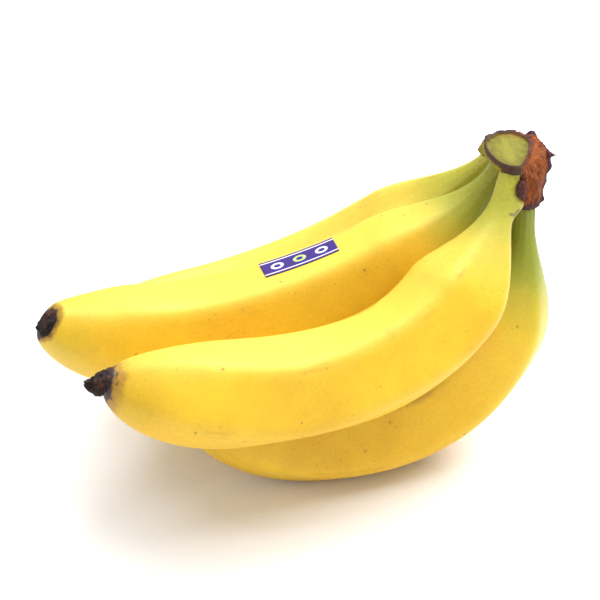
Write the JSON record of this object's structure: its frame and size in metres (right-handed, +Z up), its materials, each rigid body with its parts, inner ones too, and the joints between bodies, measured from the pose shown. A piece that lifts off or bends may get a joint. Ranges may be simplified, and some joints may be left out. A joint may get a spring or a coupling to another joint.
{
  "type": "hand of bananas",
  "caption": "Hand of ripe bananas joined at a brown cut crown, lying on its lower fruits, with a small blank sticker on one.",
  "frame": {"origin": "on the floor, under the middle of the hand's outline box", "axes": "+X toward the crown along the bananas, +Z up, and the picture was taken from the -Y side"},
  "size_m": [0.1966, 0.1486, 0.1275],
  "materials": {
    "skin": "waxy, semi-matte yellow, greener at the necks",
    "blossom_remains": "dry, black and rough",
    "crown_tissue": "dry brown fibre with a paler cut face",
    "sticker_film": "thin printed film, satin"
  },
  "bodies": {
    "root": {"banana_front": "skin", "banana_middle": "skin", "banana_rear": "skin", "banana_low_front": "skin", "banana_low_rear": "skin", "blossom_end_front": "blossom_remains", "blossom_end_middle": "blossom_remains", "blossom_end_rear": "blossom_remains", "blossom_end_low_front": "blossom_remains", "blossom_end_low_rear": "blossom_remains", "crown": "crown_tissue", "sticker": "sticker_film"}
  },
  "joints": []
}
